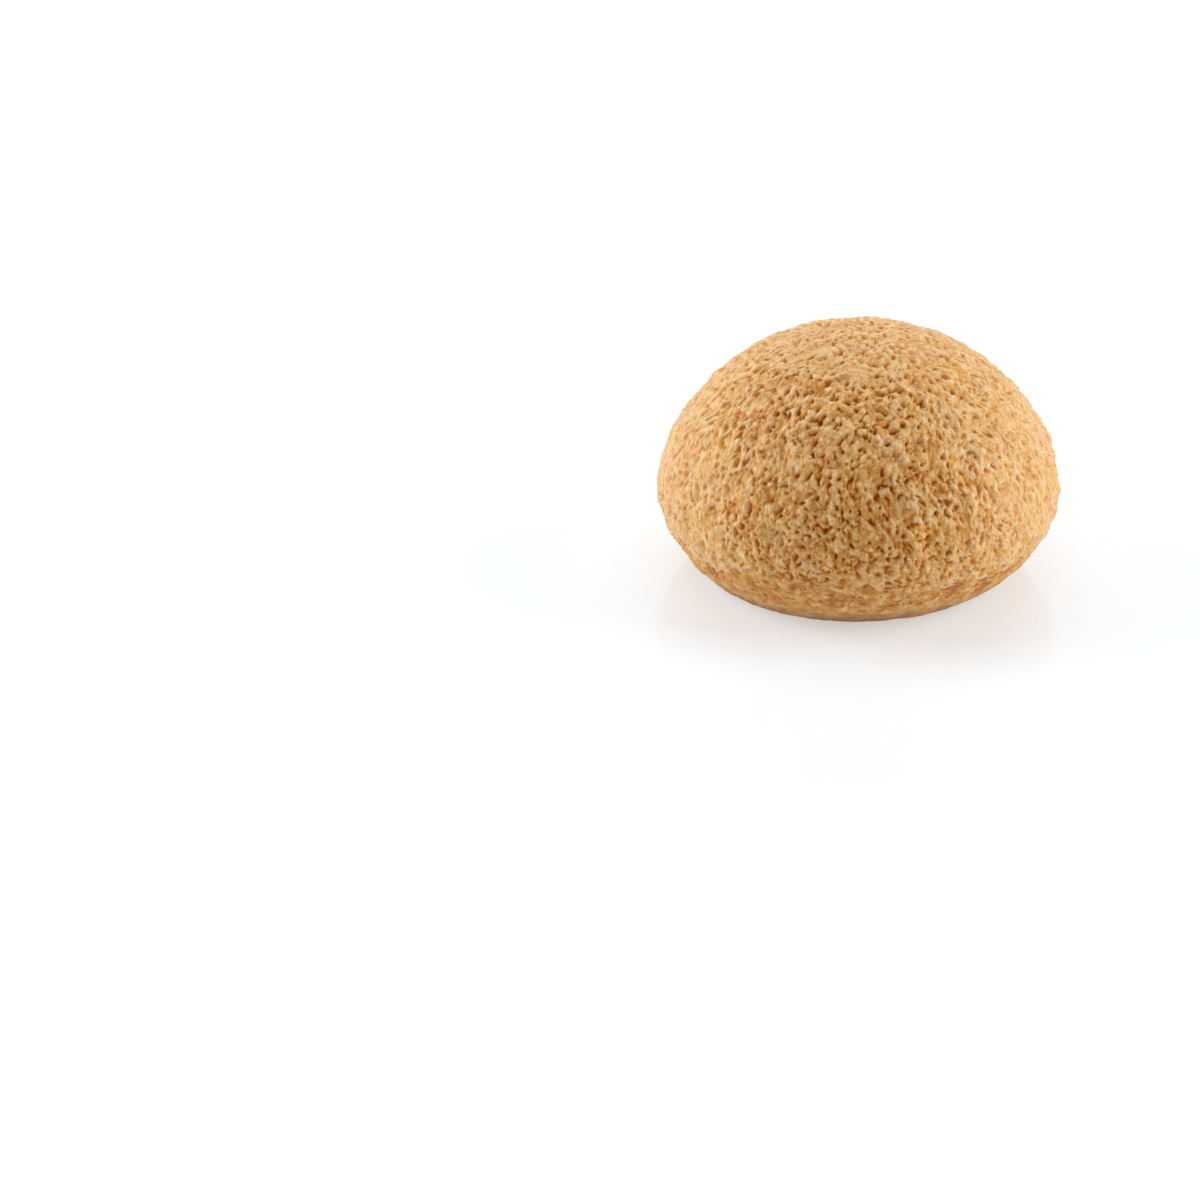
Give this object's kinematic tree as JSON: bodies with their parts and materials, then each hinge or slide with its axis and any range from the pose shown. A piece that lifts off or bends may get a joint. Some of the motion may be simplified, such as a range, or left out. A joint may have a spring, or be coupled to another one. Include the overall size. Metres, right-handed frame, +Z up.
{
  "type": "choux bun",
  "caption": "Round domed choux bun under a cracked craquelin crust, tucked in to a flat foot.",
  "frame": {"origin": "on the surface that the bun stands on, under the middle of its width and length", "axes": "+Z up through the crown; -Y towards the side that is seen, +X to its right"},
  "size_m": [0.0642, 0.064, 0.0393],
  "materials": {
    "craquelin_crust": null,
    "baked_choux": "smoother golden brown choux skin with a faint sheen, in a band round the foot"
  },
  "bodies": {
    "root": {"choux_bun": "craquelin_crust"}
  },
  "joints": []
}
